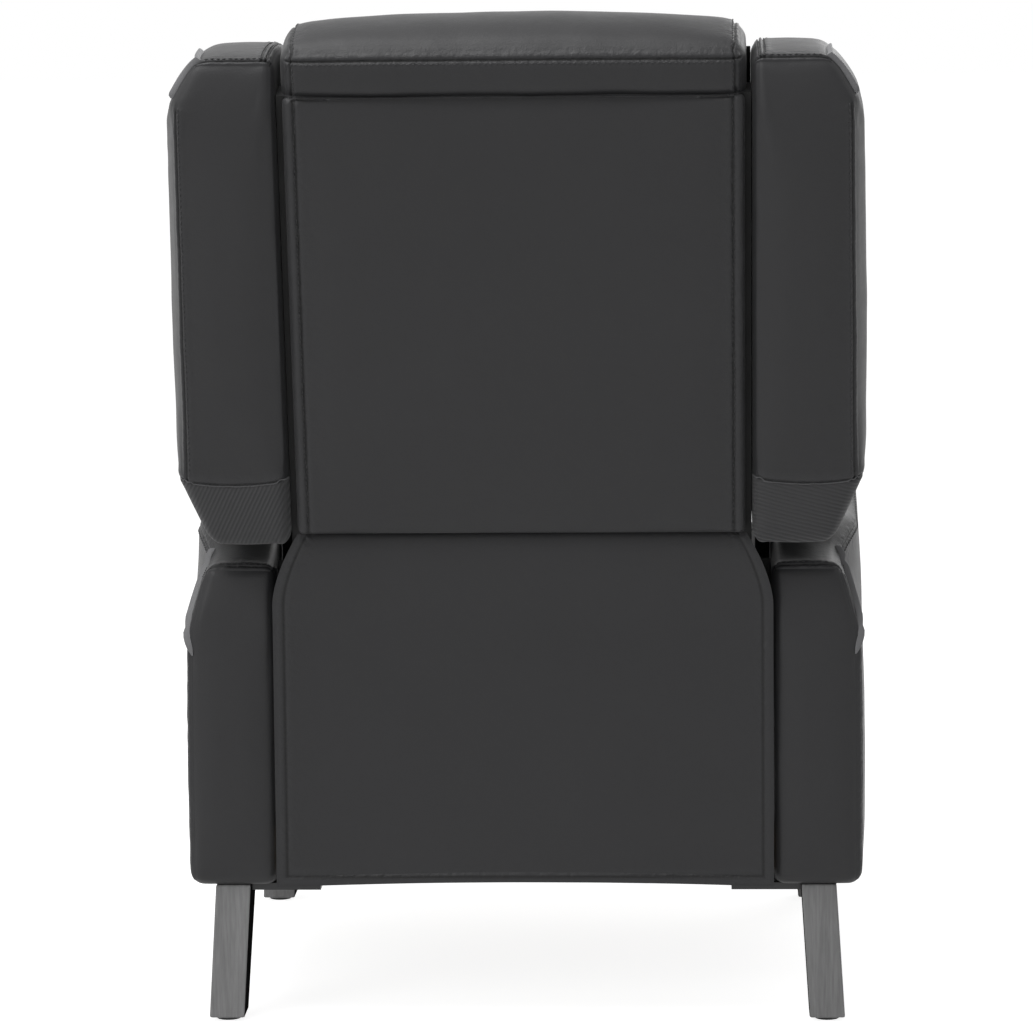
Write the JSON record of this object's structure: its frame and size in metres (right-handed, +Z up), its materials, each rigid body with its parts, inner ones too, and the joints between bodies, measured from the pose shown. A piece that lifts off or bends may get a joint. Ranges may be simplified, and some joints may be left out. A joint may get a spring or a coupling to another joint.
{
  "type": "gaming recliner",
  "caption": "Wing-back push-back recliner in dark grey leather with sloped arms, grey piping, splayed plank legs and a scissor-hung leg rest.",
  "frame": {"origin": "on the floor, at the centre of the whole chair's outline at rest", "axes": "+X to the sitter's left, -Y out of the chair's front, +Y out of its rear, +Z up"},
  "size_m": [0.726, 0.8438, 1.0748],
  "materials": {
    "leather": "dark grey pebbled faux leather over foam",
    "piping": "lighter grey flat piping",
    "stained_wood": "grey stained hardwood, satin",
    "wood": "raw softwood",
    "plywood": "raw plywood",
    "steel": "black painted steel",
    "dark_steel": "black painted steel tube and rod",
    "plastic": "matt black plastic"
  },
  "bodies": {
    "base": {"arm_left": "leather", "arm_panel_left": "plywood", "arm_piping_left": "piping", "base_plate_left": "steel", "leg_front_left": "stained_wood", "leg_plate_front_left": "dark_steel", "foot_glide_front_left": "plastic", "leg_rear_left": "stained_wood", "leg_plate_rear_left": "dark_steel", "foot_glide_rear_left": "plastic", "arm_right": "leather", "arm_panel_right": "plywood", "arm_piping_right": "piping", "base_plate_right": "steel", "leg_front_right": "stained_wood", "leg_plate_front_right": "dark_steel", "foot_glide_front_right": "plastic", "leg_rear_right": "stained_wood", "leg_plate_rear_right": "dark_steel", "foot_glide_rear_right": "plastic", "front_rail": "wood", "rear_rail": "wood", "base_cross_tube": "steel", "rear_flap": "leather"},
    "front_links": {"seat_link_front_left": "steel", "seat_link_front_right": "steel", "link_tube": "steel"},
    "rear_links": {"seat_link_rear_left": "steel", "seat_link_rear_right": "steel"},
    "seat": {"seat_plate_left": "steel", "seat_plate_right": "steel", "seat_frame": "wood", "seat_cushion": "leather", "seat_spring_1": "steel", "seat_spring_2": "steel", "seat_spring_3": "steel", "seat_spring_4": "steel"},
    "drive": {"drive_bar_left": "steel", "drive_bar_right": "steel", "drive_tube": "steel"},
    "slide": {"slide_bar_left": "steel", "slide_bar_right": "steel", "slot_rod": "steel"},
    "tie": {"tie_bar_left": "steel", "tie_bar_right": "steel"},
    "footrest": {"footrest_arm_left": "steel", "footrest_arm_right": "steel", "footrest_board": "plywood", "footrest_cushion": "leather"},
    "back": {"back_bracket_left": "steel", "wing_left": "leather", "wing_piping_left": "piping", "back_bracket_right": "steel", "wing_right": "leather", "wing_piping_right": "piping", "back_frame": "wood", "rear_panel": "leather", "back_cushion": "leather", "head_cushion": "leather"}
  },
  "joints": [
    {"name": "back_recline", "type": "hinge", "parent": "base", "child": "back", "pos_m": [0, 0.11586, 0.312], "axis": [-1, 0, 0], "range_deg": [0, 45], "deforming": ["rear_flap"]},
    {"name": "front_link_swing", "type": "hinge", "parent": "base", "child": "front_links", "pos_m": [0, -0.21414, 0.227], "axis": [1, 0, 0], "range_deg": [0, 45]},
    {"name": "seat_level", "type": "hinge", "parent": "front_links", "child": "seat", "pos_m": [0, -0.18544, 0.29629], "axis": [-1, 0, 0], "range_deg": [0, 45]},
    {"name": "rear_link_swing", "type": "hinge", "parent": "base", "child": "rear_links", "pos_m": [0, 0.02586, 0.227], "axis": [1, 0, 0], "range_deg": [0, 45]},
    {"name": "footrest_open", "type": "hinge", "parent": "seat", "child": "drive", "pos_m": [0, -0.27714, 0.342], "axis": [-1, 0, 0], "range_deg": [0, 74]},
    {"name": "slide_bar_turn", "type": "hinge", "parent": "drive", "child": "slide", "pos_m": [0, -0.29739, 0.25431], "axis": [1, 0, 0], "range_deg": [0, 148]},
    {"name": "tie_bar_turn", "type": "hinge", "parent": "drive", "child": "tie", "pos_m": [0, -0.31763, 0.16661], "axis": [1, 0, 0], "range_deg": [0, 148]},
    {"name": "footrest_arm_turn", "type": "hinge", "parent": "slide", "child": "footrest", "pos_m": [0, -0.3021, 0.34418], "axis": [-1, 0, 0], "range_deg": [0, 148]}
  ],
  "couplings": [
    {"joint": "front_link_swing", "follows": "back_recline", "ratio": 1},
    {"joint": "seat_level", "follows": "back_recline", "ratio": 1},
    {"joint": "rear_link_swing", "follows": "back_recline", "ratio": 1},
    {"joint": "slide_bar_turn", "follows": "footrest_open", "ratio": 2},
    {"joint": "tie_bar_turn", "follows": "footrest_open", "ratio": 2},
    {"joint": "footrest_arm_turn", "follows": "footrest_open", "ratio": 2}
  ]
}
